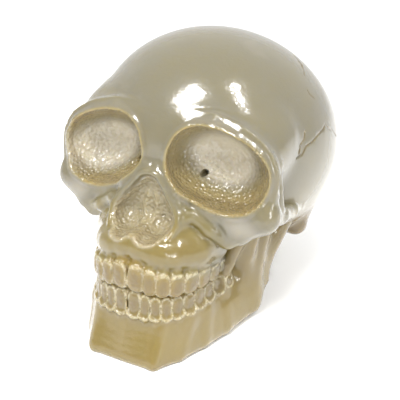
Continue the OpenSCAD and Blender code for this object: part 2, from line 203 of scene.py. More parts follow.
# %% Bones of the face, as (x, y, z, radius)
brow = [(0, -29.6, 60.0, 3.2), (7, -31.2, 61.8, 2.4), (14, -31.6, 62.8, 2.0), (20, -31.2, 60.6, 2.0),
        (25.2, -30.2, 56.6, 2.2)]
orbit_side = [(25.2, -30.0, 56.8, 2.5), (28.4, -29.6, 52, 2.2), (29.6, -29.6, 46.4, 2.4),
              (28.6, -30.2, 41.2, 3.8)]
orbit_floor = [(28.6, -30.2, 41.2, 3.8), (21, -33.2, 39.0, 3.0), (13, -35.0, 40.8, 2.2),
               (6.6, -35.0, 45.4, 1.8)]
cheekbone = [(28.4, -30.4, 40.6, 4.2), (22.6, -32.2, 35.6, 3.6), (20.2, -33.0, 33.8, 3.0)]
cheek_border = [(20.4, -33.4, 33.4, 2.6), (16.0, -36.0, 36.6, 2.0), (11.8, -37.8, 40.2, 1.6)]
temple = [(24.4, -26.6, 57.6, 2.4), (23.6, -17.0, 58.0, 6.0)]
over_socket_centre = (16.5, -20.5, 54.5)
over_socket_radii = (14.0, 12.6, 12.2)
temple_ridge = [(25.8, -26.6, 59.6, 1.2), (29.4, -25.4, 53.4, 1.3), (30.2, -25.2, 47.0, 1.5),
                (30.4, -24.6, 41.6, 2.0)]
cheek_back = [(26.0, -28.0, 40.4, 3.6), (16.0, -22.0, 40.0, 7.0)]
cheek_arch = [(28.4, -29.6, 39.8, 3.8), (30.4, -22.0, 38.2, 2.7), (31.0, -13.0, 36.0, 2.3),
              (30.0, -5.0, 34.0, 2.4), (28.0, 2.0, 33.0, 3.0)]
mastoid = [(25.2, 13, 31, 6.0), (27.2, 9.6, 21.4, 3.9)]
nose_bridge = [(0, -28.6, 60, 2.8), (0, -29.2, 56, 2.0), (0, -32.0, 51.8, 1.7), (0, -36.6, 49.2, 1.7)]
nose_wall = [(1.8, -36.4, 49.8, 2.0), (6.6, -37.6, 44.8, 2.2), (9.2, -38.8, 39.2, 2.3),
             (8.0, -41.2, 35.0, 2.2)]
snout = [(0, -22, 45, 9.5), (0, -33.0, 33.6, 10.0)]
tooth_ridge = [(0, -41.6, 31.0, 5.2), (8, -40.2, 31.0, 5.2), (12.6, -36, 29.4, 4.4), (14.6, -28, 27.4, 4.0)]
nose_sill = [(0, -40.2, 32.2, 2.6), (6.2, -39.6, 31.4, 2.6), (9.8, -37.6, 34.4, 2.6)]
snout_side = [(9, -23, 43, 8.5), (10.2, -33.4, 32.2, 6.6)]
print("balls in the brow:", len(brow), "in the cheek arch:", len(cheek_arch))

# %% [markdown]
# ## The arch that the teeth stand on
#
# Seen from below, both tooth rows follow one blunt arch: nearly flat in front, then turning
# straight back. A superellipse draws it with two half axes and a power. A place on it is a number
# u, from 0 between the front teeth to 1 behind the last one, and back teeth crowd a little closer.
# The gum lines and the line where the rows meet are heights along that arch. The upper two drop
# towards the cheeks.

# %% Tooth arch
arch_half_width = 17.8
arch_front = -51.0
arch_back = -17.0
arch_power = 3.0
arch_spread = 80
crowding = 0.83
teeth_in_half_row = 8
lower_in_half_row = 10


def arch_point(u):
    """Place on the arch, from the middle of the front teeth (0) to the last tooth (1)."""
    angle = math.radians(arch_spread * abs(u) ** crowding)
    s, c = math.sin(angle), math.cos(angle)
    reach = (s ** arch_power + c ** arch_power) ** (-1 / arch_power)
    x = math.copysign(arch_half_width * s * reach, u)
    return x, arch_back + (arch_front - arch_back) * c * reach


def arch_turn(u, du=0.03):
    """Which way the row runs at u, in radians."""
    ax, ay = arch_point(u - du)
    bx, by = arch_point(u + du)
    return math.atan2(by - ay, bx - ax)


def upper_gum(u):
    return 28.8 - 6.4 * u


def bite_line(u):
    return 21.0 - 3.0 * u


def lower_gum(u):
    return 13.6 + 0.2 * u


tooth_places = [(i + 0.5) / teeth_in_half_row for i in range(teeth_in_half_row)]
lower_places = [(i + 0.5) / lower_in_half_row for i in range(lower_in_half_row)]
print("arch points", [tuple(round(v, 1) for v in arch_point(u)) for u in tooth_places])

# %% [markdown]
# ## Teeth
#
# A cast tooth is a rounded block that stands a little proud of the resin behind it. Boxes with
# bevels would need a cage for each tooth. A power of three on each axis gives the block its soft
# corners with one formula, and both rows come from one function. Between the rows a rail of resin
# closes the mouth, and a thinner rail makes the scalloped edge of each gum.

# %% One row of teeth, and the wall behind it
tooth_power = 3
tooth_fillet = 0.25


def tooth(points, start, end, low, high, half_width, half_depth, inset):
    """One tooth between two places on the arch."""
    angle = math.atan2(end[1] - start[1], end[0] - start[0])
    c, s = math.cos(angle), math.sin(angle)
    dx, dy = points[:, 0] - (start[0] + end[0]) / 2, points[:, 1] - (start[1] + end[1]) / 2
    along = dx * c + dy * s
    inward = -dx * s + dy * c - inset
    up = points[:, 2] - (low + high) / 2
    half_height = (high - low) / 2
    k = (np.abs(along / half_width) ** tooth_power + np.abs(inward / half_depth) ** tooth_power
         + np.abs(up / half_height) ** tooth_power) ** (1 / tooth_power)
    return (k - 1) * min(half_width, half_depth)


def tooth_row(points, places, low_line, high_line, half_depth, inset, narrower):
    """All teeth of one side, from low_line to high_line."""
    best = None
    half_gap = (places[1] - places[0]) / 2
    for u in places:
        start, end = arch_point(u - half_gap), arch_point(u + half_gap)
        half_width = math.dist(start, end) / 2 * narrower
        d = tooth(points, start, end, low_line(u), high_line(u), half_width, half_depth, inset)
        best = d if best is None else join(best, d, tooth_fillet)
    return best


def row_wall(points, line, shift, inset, radius, blend=1.0):
    """A rail that follows the arch, inset behind its front, from just past the middle."""
    rail = []
    for u in [-0.06, 0.03] + tooth_places + [1.0]:
        x, y = arch_point(u)
        angle = arch_turn(u)
        rail.append((x - inset * math.sin(angle), y + inset * math.cos(angle), line(abs(u)) + shift, radius))
    return bone(points, rail, blend)


def gum_edge(points, line, places, inset, radius, scallop):
    """The thin lip of a gum: it climbs over each tooth by scallop and dips between teeth."""
    half_gap = (places[1] - places[0]) / 2
    rail = []
    for u in places:
        for side, rise in ((-half_gap, -scallop), (0, scallop)):
            x, y = arch_point(u + side)
            angle = arch_turn(u + side)
            rail.append((x - inset * math.sin(angle), y + inset * math.cos(angle),
                         line(abs(u + side)) + rise, radius))
    return bone(points, rail, 0.3)


print("upper teeth:", 2 * len(tooth_places), "lower teeth:", 2 * len(lower_places))

# %% [markdown]
# ## Openings of the face
#
# The openings come first, because the bones and lips round them are measured from their edges.
# An eye socket is a bowl whose outline is a little squared, so it is an egg with a power on its
# outline. The nose is a heart: two lobes and a middle, each a ball that runs upwards, cut to a
# floor that is only a few millimetres deep.

# %% Openings of the face
socket_centre = (16.6, -34.0, 52.4)
socket_radii = (13.5, 11.5, 9.9)
socket_power = 2.3
socket_axes = turn(x_degrees=-6, y_degrees=20)


def fold(points):
    """Brings both sides of the skull over to its left side."""
    q = points.astype(np.float32).copy()
    q[:, 0] = np.abs(q[:, 0])
    return q


def socket_bowl(q, grow=0.0):
    """An egg whose outline, seen from the front, is a little squared."""
    local = (q - np.array(socket_centre, np.float32)) @ socket_axes
    radii = np.array(socket_radii, np.float32) + grow
    a = np.abs(local / radii)
    outline = (a[:, 0] ** socket_power + a[:, 2] ** socket_power) ** (2 / socket_power)
    k0 = np.sqrt(outline + a[:, 1] ** 2)
    k1 = np.maximum(length(local / (radii * radii)), 1e-6)
    return k0 * (k0 - 1) / k1


def nose_outline(q):
    """Distance to the nose opening's heart shape, looked at from the front."""
    flat = q * np.array((1, 0, 1), np.float32)
    lobe = bone(flat, [(1.0, 0, 46.8, 1.6), (4.3, 0, 38.8, 4.1)])
    middle = bone(flat, [(0, 0, 47.2, 1.6), (0, 0, 39.6, 3.4)])
    return join(lobe, middle, 0.8)


def join_sharp(a, b, blend):
    """The part that both shapes share, with its edge rounded by blend."""
    return -join(-a, -b, blend)


def nose_floor(z):
    """How far forward the floor of the nose opening is, at height z."""
    return -37.0 + 0.1 * (z - 40)


def nose_hollow(q, grow=0.0):
    """The nose opening, which narrows towards its floor."""
    over_floor = nose_floor(q[:, 2]) - q[:, 1]
    tapered = nose_outline(q) - grow + np.clip(4 - over_floor, 0, 4) * 0.4
    return join_sharp(tapered, -over_floor - grow, 2.4)


print("socket half size", socket_radii, "wall", wall)

# %% [markdown]
# ## Cracks in the brain case
#
# Four thin cracks run over the left side of the brain case, like old bone's. Booleans with thin
# blades would leave ragged edges. A crack is only a line of points here, and the field is raised
# within half a millimetre of it, which cuts a fine groove.

# %% Cracks drawn on the brain case, left side only, as (x, y, z)
long_crack = [(29.4, -18.8, 49.8), (30.6, -16.4, 50.6), (31.2, -15.0, 52.2), (32.4, -12.2, 52.8),
              (32.8, -10.4, 54.8), (33.4, -8.0, 55.0), (34.2, -4.0, 56.4), (34.4, -0.4, 56.8),
              (34.6, 2.0, 57.8), (35.2, 4.4, 55.8), (35.6, 7.0, 55.0), (36.0, 11.8, 51.8)]
short_crack = [(31.8, -13.6, 53.4), (31.6, -13.0, 55.6), (32.2, -11.2, 56.6), (31.9, -10.0, 58.6)]
top_crack = [(20.6, 11.6, 74.0), (22.6, 10.0, 73.0), (23.4, 9.4, 71.9), (25.2, 6.4, 71.6), (26.2, 4.0, 70.6)]
side_nick = [(28.8, -0.8, 67.4), (29.8, -0.9, 66.4), (30.8, 0.6, 65.2)]
cracks = (long_crack, short_crack, top_crack, side_nick)


def from_crack(points):
    """Distance in mm to the nearest crack."""
    return np.min([bone(points, [(x, y, z, 0) for x, y, z in crack]) for crack in cracks], axis=0)


print("cracks:", len(cracks))

# %% [markdown]
# ## Upper casting
#
# The order matters as it does with clay: first the brain case and the bones, then the gums and
# teeth, and last the cuts for the sockets, the nose and the hollow inside. The last number of each
# join is the width of its fillet, from wide ones where bone swells out of the case to narrow ones
# on a ridge. A thin raised lip runs round each opening. It is the set of points at one distance
# from the opening's edge and close to the skin, so a tube's formula draws it.

# %% Upper casting's field
socket_wall = 3.2
nose_wall_behind = 3.0
ring_gap = 0.1
boss_width = 3.0
boss_height = 9
mouth_of_hollow = 14
crack_depth = 0.3


def behind_nose(q):
    """Fills the space behind the floor of the nose opening."""
    return np.maximum(nose_outline(q) - 1.0, np.maximum(nose_floor(q[:, 2]) - 0.4 - q[:, 1], q[:, 1] + 28))


def face_skin(q):
    """Brain case and face, before any opening is cut."""
    d = egg(q, case_centre, case_radii, case_axes)
    d = join(d, bone(q, temple), 5)
    d = join(d, bone(q, cheek_back), 4)
    d = join(d, join(bone(q, snout), bone(q, snout_side), 5), 5)
    d = join(d, join(bone(q, tooth_ridge, 1), bone(q, nose_sill, 1), 2), 3)
    behind_socket = np.maximum(socket_bowl(q, 2.6), -31.0 - q[:, 1])
    d = join(d, behind_socket, 2.0)
    d = join(d, egg(q, over_socket_centre, over_socket_radii), 4)
    d = join(d, bone(q, brow, 1), 3)
    d = join(d, bone(q, orbit_side, 1), 2)
    d = join(d, bone(q, temple_ridge, 0.5), 1.4)
    d = join(d, bone(q, orbit_floor, 1), 2.5)
    d = join(d, bone(q, cheekbone, 1), 2.5)
    d = join(d, bone(q, cheek_border, 1), 0.8)
    d = join(d, bone(q, nose_bridge, 1), 2.5)
    d = join(d, bone(q, nose_wall, 1), 2)
    d = np.minimum(d, only_near(q, (-1, -44, 28), (14, -27, 54), behind_nose))
    d = join(d, bone(q, cheek_arch, 1), 1.6)
    d = join(d, bone(q, mastoid), 3)
    return d


def upper_edge(u):
    return bite_line(u) - 0.1


def upper_root(u):
    return upper_gum(u) + 1.2


def upper_mouth(q):
    """Gums, the swellings over the tooth roots, and the teeth."""
    d = row_wall(q, upper_gum, 4.2, 4.8, 3.8)
    d = join(d, gum_edge(q, upper_gum, tooth_places, 2.0, 0.9, 0.7), 1.2)
    d = join(d, row_wall(q, bite_line, 2.4, 3.4, 2.8), 0.8)
    teeth = tooth_row(q, tooth_places, upper_edge, upper_root, 2.3, 2.1, 0.98)
    return join(d, teeth, 0.4)


def nose_lip(q):
    return np.hypot(nose_outline(q) - 1.3, face_skin(q) - 0.1) - 0.8


def socket_lip(q):
    return np.hypot(socket_bowl(q) - 0.5, face_skin(q)) - 0.5


def outer_skull(q):
    d = face_skin(q)
    mouth = only_near(q, (-1, -60, 12), (26, -12, 42), upper_mouth)
    d = join(d, mouth, 2.0)
    d = join(d, only_near(q, (-1, -52, 28), (16, -30, 54), nose_lip), 0.8)
    return join(d, only_near(q, (0, -50, 36), (34, -20, 68), socket_lip), 1.0)


def skull_hollow(q):
    """The space inside, which leaves a wall behind the sockets and the nose."""
    d = egg(q, case_centre, tuple(r - wall for r in case_radii), case_axes)
    d = carve(d, socket_bowl(q, socket_wall), 2.5)
    d = carve(d, nose_hollow(q, nose_wall_behind), 2.0)
    from_axis = np.hypot(q[:, 0], q[:, 1] - ring_centre_y) - (ring_radius + ring_gap)
    way_in = np.maximum(from_axis, q[:, 2] - (skull_low[2] + mouth_of_hollow))
    return join(d, way_in, 0.6)


def ring_boss(q):
    """The thick rim that the ring is bonded into."""
    from_axis = np.hypot(q[:, 0], q[:, 1] - ring_centre_y) - (ring_radius + boss_width)
    return np.maximum(from_axis, np.maximum(skull_low[2] - q[:, 2], q[:, 2] - (skull_low[2] + boss_height)))


def ports(q):
    """Holes that let bubbles out at the back of each socket and of the nose."""
    return np.minimum(bone(q, [(9.8, -32, 47.4, 0.9), (9.8, -12, 47.4, 0.9)]),
                      bone(q, [(3.6, -42, 36.8, 0.5), (3.6, -18, 40, 0.5)]))


def upper_field(points):
    q = fold(points)
    d = join(outer_skull(q), ring_boss(q), 1.5)
    d = np.maximum(d, skull_low[2] - q[:, 2])
    d = carve(d, only_near(q, (-2, -60, 34), (36, -14, 70), socket_bowl), 0.5)
    d = carve(d, only_near(q, (-2, -60, 28), (14, -28, 54), nose_hollow), 0.5)
    d = carve(d, only_near(q, (-1, -46, 33), (13, -8, 51), ports), 0.3)
    d = carve(d, skull_hollow(q), 0.4)
    return d + crack_depth * fade(only_near(points, (18, -22, 46), (38, 16, 77), from_crack), 0.0, 0.5)


print("field at the brow:", upper_field(np.array([[0.0, -33.0, 60.0]], np.float32)))

# %% [markdown]
# ## From field to mesh
#
# Surface nets turn the field into quads: one point in each grid cell that the skin crosses, and
# one quad for each grid edge that it crosses. The points are then pulled onto the skin along the
# field's slope. The face needs finer quads than the smooth brain case, so its faces are split
# once and pulled on again.

# %% Surface nets
def sample_half(field, low, high, step):
    """Field values on a grid from x = 0 to the left, mirrored over to the right."""
    xs = np.arange(0, high[0] + 2 * step, step, dtype=np.float32)
    ys = np.arange(low[1] - 2 * step, high[1] + 2 * step, step, dtype=np.float32)
    zs = np.arange(low[2] - 2 * step, high[2] + 2 * step, step, dtype=np.float32)
    half = np.empty((len(xs), len(ys), len(zs)), np.float32)
    gy, gz = np.meshgrid(ys, zs, indexing="ij")
    slab = 8
    for start in range(0, len(xs), slab):
        some = xs[start:start + slab]
        p = np.empty((len(some), gy.size, 3), np.float32)
        p[:, :, 0] = some[:, None]
        p[:, :, 1] = gy.ravel()
        p[:, :, 2] = gz.ravel()
        half[start:start + slab] = field(p.reshape(-1, 3)).reshape(len(some), len(ys), len(zs))
    values = np.concatenate([half[:0:-1], half], axis=0)
    origin = np.array((-xs[-1], ys[0], zs[0]), np.float32)
    return values, origin


def surface_net(values, origin, step):
    """Points and quads of the skin where values change sign."""
    inside = values < 0
    cells = tuple(n - 1 for n in values.shape)
    total = np.zeros(cells + (3,), np.float32)
    count = np.zeros(cells, np.float32)
    crossings = []
    for axis in range(3):
        first = np.moveaxis(values, axis, 0)[:-1]
        last = np.moveaxis(values, axis, 0)[1:]
        cut = (first < 0) != (last < 0)
        crossings.append(cut)
        where = np.argwhere(cut)
        t = first[cut] / (first[cut] - last[cut])
        place = where.astype(np.float32)
        place[:, 0] += t
        order = [axis] + [a for a in range(3) if a != axis]
        for da in (0, -1):
            for db in (0, -1):
                cell = where + np.array((0, da, db))
                ok = np.all((cell >= 0) & (cell[:, 1:2] < values.shape[order[1]] - 1)
                            & (cell[:, 2:3] < values.shape[order[2]] - 1), axis=1)
                grid_cell = np.empty((ok.sum(), 3), int)
                grid_place = np.empty((ok.sum(), 3), np.float32)
                for slot_index, a in enumerate(order):
                    grid_cell[:, a] = cell[ok][:, slot_index]
                    grid_place[:, a] = place[ok][:, slot_index]
                flat = np.ravel_multi_index(grid_cell.T, cells)
                np.add.at(count.reshape(-1), flat, 1)
                np.add.at(total.reshape(-1, 3), flat, grid_place)
    used = count > 0
    index = np.full(cells, -1)
    index[used] = np.arange(used.sum())
    points = origin + step * total[used] / count[used][:, None]
    quads = []
    for axis in range(3):
        order = [axis] + [a for a in range(3) if a != axis]
        where = np.argwhere(crossings[axis])
        where = where[(where[:, 1] > 0) & (where[:, 2] > 0)]
        grid = np.moveaxis(index, order, (0, 1, 2))
        i, j, k = where.T
        quad = np.stack([grid[i, j - 1, k - 1], grid[i, j, k - 1], grid[i, j, k], grid[i, j - 1, k]], axis=1)
        starts_inside = np.moveaxis(inside, order, (0, 1, 2))[i, j, k]
        flip = starts_inside if axis != 1 else ~starts_inside
        quad[~flip] = quad[~flip][:, ::-1]
        quads.append(quad)
    return points, np.concatenate(quads)


def pull_on(points, field, rounds=2, limit=0.6):
    """Moves points onto the skin, along the field's slope."""
    p = points.astype(np.float32)
    e = 0.05
    for _ in range(rounds):
        d = field(p)
        slope = np.stack([(field(p + np.eye(3, dtype=np.float32)[a] * e) - d) / e for a in range(3)], axis=1)
        step = d[:, None] * slope / np.maximum((slope * slope).sum(1), 0.1)[:, None]
        size = length(step)
        step *= np.minimum(1, limit / np.maximum(size, 1e-6))[:, None]
        p = p - step
    return p


def add_number(mesh, name, values):
    """Stores one number for each point of the mesh, for the materials to read."""
    layer = mesh.attributes.new(name, "FLOAT", "POINT")
    layer.data.foreach_set("value", np.ascontiguousarray(values, np.float32))


def resin_under(points, field, deepest):
    """How much resin lies under each point, from 0 (thin) to 1 (deepest mm or more)."""
    p = points.astype(np.float32)
    e = 0.1
    d = field(p)
    slope = np.stack([(field(p + np.eye(3, dtype=np.float32)[a] * e) - d) for a in range(3)], axis=1)
    inward = -slope / np.maximum(length(slope), 1e-6)[:, None]
    found = np.full(len(p), deepest, np.float32)
    for depth in np.linspace(deepest, 1.0, 8):
        found[field(p + inward * np.float32(depth)) > 0] = depth
    return found / deepest


def split_where(bm, chosen, cuts):
    """Cuts the faces whose corners are all chosen."""
    bm.verts.ensure_lookup_table()
    picked = chosen(np.array([v.co for v in bm.verts], np.float32))
    edges = [e for e in bm.edges if picked[e.verts[0].index] and picked[e.verts[1].index]]
    if edges:
        bmesh.ops.subdivide_edges(bm, edges=edges, cuts=cuts, use_grid_fill=True)
    bm.verts.ensure_lookup_table()
    bm.verts.index_update()


def cast_mesh(name, field, low, high, step, fine_faces, finest_faces=None):
    """A closed mesh of the field, finer where fine_faces says so. Points come back in mm."""
    values, origin = sample_half(field, low, high, step)
    points, quads = surface_net(values, origin, step)
    points = pull_on(points, field)
    mesh = bpy.data.meshes.new(name)
    mesh.from_pydata(points.tolist(), [], quads.tolist())
    bm = bmesh.new()
    bm.from_mesh(mesh)
    split_where(bm, fine_faces, 1)
    if finest_faces is not None:
        split_where(bm, finest_faces, 3)
    points = pull_on(np.array([v.co for v in bm.verts], np.float32), field, rounds=1)
    for v, p in zip(bm.verts, points):
        v.co = p
    bm.to_mesh(mesh)
    open_edges = sum(1 for e in bm.edges if len(e.link_faces) < 2)
    shared_edges = sum(1 for e in bm.edges if len(e.link_faces) > 2)
    bm.free()
    print(name, "points", len(mesh.vertices), "faces", len(mesh.polygons))
    print("open edges", open_edges, "edges shared by more than two faces", shared_edges)
    return mesh


def as_piece(name, mesh, body, scale=MM):
    """Puts a mesh in millimetres into the scene, smooth shaded, and lets it ride on its body."""
    mesh.transform(Matrix.Scale(scale, 4))
    mesh.polygons.foreach_set("use_smooth", np.ones(len(mesh.polygons), bool))
    mesh.update()
    piece = bpy.data.objects.new(name, mesh)
    bpy.context.scene.collection.objects.link(piece)
    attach(piece, body)
    return piece


coarse = 0.8
print("grid step", coarse, "mm")

# %% [markdown]
# ## Cast the upper skull
#
# The brain case, the base and the face are separate castings in the CAD model, bonded with resin
# of the same colour, so no seam shows. One mesh stands for all three. Only the outside of the
# face and the strips beside the cracks get the finer quads.

# %% Cast the upper skull
face_starts = -22
face_top = 68
crack_strip = 1.1


def upper_outside(p):
    q = fold(p)
    d = outer_skull(q)
    d = carve(d, socket_bowl(q), 0.5)
    return carve(d, nose_hollow(q), 0.5)


def in_the_face(p):
    on_the_outside = np.abs(upper_outside(p)) < 0.6
    return (p[:, 1] < face_starts) & (p[:, 2] < face_top) & on_the_outside


def by_a_crack(p):
    return from_crack(p) < crack_strip


upper_mesh = cast_mesh("cranium_cast", upper_field, skull_low - 1, skull_high + 1, coarse,
                       in_the_face, by_a_crack)
cranium = as_piece("cranium_cast", upper_mesh, "skull")
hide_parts(*upper_nodes)

# %% [markdown]
# ## Jaw casting
#
# The jaw is a deep bar that runs from the chin to the jaw angles and then climbs to the skull
# base. A box with bevels would look machined. Three rails at different heights, with more rails
# filled in between them, give the bar its flat chin and its firm lower edge, and three more chains
# make the branch that climbs. It is cut flat where it stands on the floor.

# %% Jaw field
jaw_low_corner, jaw_high_corner = [np.array(corner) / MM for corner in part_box("jaw")]
jaw_base = [(0, -51.9, 1.4, 1.9), (8.8, -51.7, 1.4, 1.9), (12.6, -45.4, 1.7, 2.2), (15.8, -37, 2.1, 2.6),
            (18.8, -28, 2.5, 2.8), (21.6, -15, 3.4, 3.4)]
jaw_middle = [(0, -48.6, 7.2, 3.1), (8.2, -47.6, 7.2, 3.1), (12.0, -42.6, 7.4, 3.2), (14.6, -36, 7.6, 3.4),
              (16.8, -27.6, 8, 3.7), (20.6, -16, 10, 3.8)]
jaw_rim = [(0, -47.0, 11.4, 3.4), (8.2, -45.8, 11.4, 3.4), (12.6, -41.0, 11.6, 3.3), (14.4, -34.6, 11.6, 3.2),
           (15.2, -27, 11.8, 3.2), (18.8, -18.6, 14, 3.2)]
ramus_back = [(20.8, -14, 4.4, 4.0), (21.8, -8.6, 9, 3.6), (22.4, -7.6, 16, 3.4), (25.8, -1.2, 28, 3.4)]
ramus_middle = [(20.6, -15, 9, 3.8), (21.4, -13.4, 18, 3.2), (22.8, -10, 28, 2.8)]
ramus_front = [(18.8, -18.6, 14, 3.2), (20.4, -18.0, 22, 2.8), (22.2, -16.4, 30.4, 2.4)]
jaw_web = [(15.6, -27, 14, 2.6), (17.4, -24.4, 21, 2.2), (19.4, -21.6, 28, 2.2)]
jaw_front_starts = -20
jaw_step = coarse * 0.8


def rail_between(low_rail, high_rail, t):
    """A rail a part t of the way from one rail to another."""
    return [tuple(a + (b - a) * t for a, b in zip(low, high)) for low, high in zip(low_rail, high_rail)]


jaw_rails = [rail_between(jaw_base, jaw_middle, t) for t in (0, 0.33, 0.67)]
jaw_rails += [rail_between(jaw_middle, jaw_rim, t) for t in (0, 0.5, 1)]


def jaw_field(points):
    q = fold(points)
    d = bone(q, jaw_rails[0], 1)
    for rail in jaw_rails[1:]:
        d = join(d, bone(q, rail, 1), 1.6)
    d = join(d, bone(q, ramus_back, 1), 3)
    d = join(d, bone(q, ramus_middle, 1), 4)
    d = join(d, bone(q, ramus_front, 1), 3)
    d = join(d, bone(q, jaw_web, 1), 3)
    d = join(d, only_near(q, (-1, -60, 6), (26, -14, 28), lower_mouth), 1.0)
    return np.maximum(d, jaw_low_corner[2] - q[:, 2])


def lower_root(u):
    return lower_gum(u) - 0.6


def lower_edge(u):
    return bite_line(u) + 0.1


def lower_mouth(q):
    """The scalloped gum edge, the teeth and the wall behind them."""
    d = row_wall(q, lower_gum, -1.4, 3.8, 2.6)
    d = join(d, gum_edge(q, lower_gum, lower_places, 1.0, 1.1, -0.4), 0.8)
    d = join(d, row_wall(q, bite_line, -2.0, 3.5, 2.4), 0.8)
    teeth = tooth_row(q, lower_places, lower_root, lower_edge, 2.1, 2.5, 0.97)
    return join(d, teeth, 0.4)


def front_of_the_jaw(p):
    return p[:, 1] < jaw_front_starts


jaw_mesh = cast_mesh("jaw_cast", jaw_field, jaw_low_corner - 1, jaw_high_corner + 1, jaw_step,
                     front_of_the_jaw)
jaw = as_piece("jaw_cast", jaw_mesh, "skull")
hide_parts("jaw")

# %% [markdown]
# ## What the resin's colour depends on
#
# Clear polyester resin yellows as it cures, and a thick casting yellows more because more of it
# lies under the skin. Painting this by hand would not fit a mesh made by formula, so each point
# stores a few numbers for the material to read. They say how warm the resin is, with painted light
# in the eye sockets and painted shade behind the arch mixed in, and how rough the mould was (the
# clay was stippled inside the sockets and the nose). They also say where painted shade lies round
# the openings, in the teeth and under the arch, where the cracks run dark, where a painted glow
# stands for light coming through a thin wall, and where the crinkled outline of a tooth is, with a
# painted highlight along it.

# %% Numbers for the materials
def points_of(mesh):
    flat = np.empty(3 * len(mesh.vertices), np.float32)
    mesh.vertices.foreach_get("co", flat)
    return flat.reshape(-1, 3)


def stipple(points):
    """1 on the stippled floors of the sockets and the nose, 0.3 round the upper teeth."""
    q = fold(points)
    lower_bowl = 0.35 + 0.65 * fade(points[:, 2] - 0.25 * q[:, 0], 46, 53)
    in_bowl = fade(socket_bowl(q), 0.3, 0.9) * lower_bowl * (points[:, 1] < -18)
    over_teeth = 0.3 * fade(q[:, 2] + 0.5 * q[:, 0], 31, 32) * fade(q[:, 1], -30, -24)
    return np.maximum(np.maximum(in_bowl, over_teeth), fade(nose_hollow(q), 0.3, 0.9))


def from_spot(q, spot, radii=(1, 1, 1)):
    """Distance from a spot on the skull, counted in radii on each axis."""
    return length((q - np.array(spot, np.float32)) / np.array(radii, np.float32))


def warmth_painted_light_and_shade(points, depth):
    """0 palest, 0.25 grey, 1 full amber; it also holds painted light in the sockets and painted shade behind
    the arch.
    """
    q = fold(points)
    x, y, z = q.T
    amount = 0.24 + 0.1 * depth
    amount += 0.36 * fade(z + 0.4 * np.abs(x), 40, 50) * fade(y, -36, -28)
    amount += 0.30 * fade(z, 28, 46) * fade(-y, 14, 26)
    amount -= 0.32 * fade(from_spot(q, (24, -33, 36)), 3, 10)
    bowl = fade(socket_bowl(q), 0.2, 1.0) * (y < -18)
    teeth_zone = fade(z + 0.5 * x, 30.5, 32) * fade(y, -30, -24)
    amount += 0.25 * teeth_zone
    # Painted light in the eye sockets: pale round a bright spot on each floor, where light shows through, and
    # amber towards the rim.
    amount = amount * (1 - bowl) + bowl * (0.1 + 0.75 * fade(-off_socket_bright_spot(points), -0.95, -0.55))
    amount = np.maximum(amount, 0.65 * fade(nose_hollow(q), 0.2, 1.0))
    # Behind the arch and under the brain case the resin turns amber, partly for its thickness and partly as
    # painted shade.
    amount += 0.7 * fade(from_spot(q, (26, 8, 24), (8, 14, 9)), 0.7, 1.4)
    return np.clip(amount, 0, 1)


def off_socket_bright_spot(points):
    """0 at the spot where an eye socket's painted light is brightest, about 1 at its rim."""
    bright_spot_right = 5.0
    bright_spot_left = -1.5
    local = (fold(points) - np.array(socket_centre, np.float32)) @ socket_axes
    local[:, 0] -= np.where(points[:, 0] < 0, bright_spot_right, bright_spot_left)
    local = np.abs(local / np.array(socket_radii, np.float32))
    return np.hypot(local[:, 0], local[:, 2])


def painted_glow_on_floors(points):
    """1 on the floors of the openings, where a painted glow stands for light that comes through from behind.
    """
    q = fold(points)
    in_bowl = fade(socket_bowl(q), 0.2, 1.0) * (q[:, 1] < -18)
    floor_of_bowl = in_bowl * (0.2 + 0.8 * fade(off_socket_bright_spot(points), 0.45, 0.85))
    return np.maximum(floor_of_bowl, 0.45 * fade(nose_hollow(q), 0.2, 1.0))


def off_tooth(points, places, low_line, high_line):
    """0 in the middle of each tooth's front, 1 on its outline."""
    q = fold(points)
    nearest = np.full(len(q), 9.0, np.float32)
    half_gap = (places[1] - places[0]) / 2
    for u in places:
        (x, y), (ax, ay), (bx, by) = arch_point(u), arch_point(u - half_gap), arch_point(u + half_gap)
        half_width = math.hypot(bx - ax, by - ay) / 2
        middle = (low_line(u) + high_line(u)) / 2
        across = np.hypot(q[:, 0] - x, q[:, 1] - y) / half_width
        up = np.abs(q[:, 2] - middle) / (high_line(u) - middle)
        nearest = np.minimum(nearest, (across ** tooth_power + up ** tooth_power) ** (1 / tooth_power))
    return nearest


def painted_shade_and_cracks(points):
    """1 where the colour is darkest: painted shade round each opening, in teeth and under the arch, and the
    dark cracks.
    """
    q = fold(points)
    skin = outer_skull(q)
    # Painted shade in the crease round each opening and in the middle of each tooth.
    rim = fade(np.hypot(socket_bowl(q) + 0.3, skin + 1.0), 0.3, 1.0)
    nose_rim = fade(np.hypot(nose_outline(q) + 0.2, skin + 0.9), 0.3, 0.9)
    teeth = 0.8 * fade(off_tooth(points, tooth_places, bite_line, upper_gum), 0.3, 0.9)
    # Painted shade under the cheek arch.
    under_arch = 0.95 * fade(from_spot(q, (27, 8, 25), (8, 13, 8)), 0.9, 1.4)
    teeth = np.maximum(teeth, under_arch)
    painted_shade = np.maximum(np.maximum(rim, nose_rim) * 0.7, teeth)
    return np.maximum(painted_shade, 0.9 * fade(from_crack(points), 0.2, 0.5))


thickest = 14
upper_points = points_of(upper_mesh) / MM
upper_depth = resin_under(upper_points, upper_field, thickest)
add_number(upper_mesh, "warmth_painted_light_and_shade", warmth_painted_light_and_shade(upper_points, upper_depth))
add_number(upper_mesh, "stipple", stipple(upper_points))
add_number(upper_mesh, "painted_shade_and_cracks", painted_shade_and_cracks(upper_points))
# Painted glow on the floors of the openings.
add_number(upper_mesh, "painted_glow", painted_glow_on_floors(upper_points))
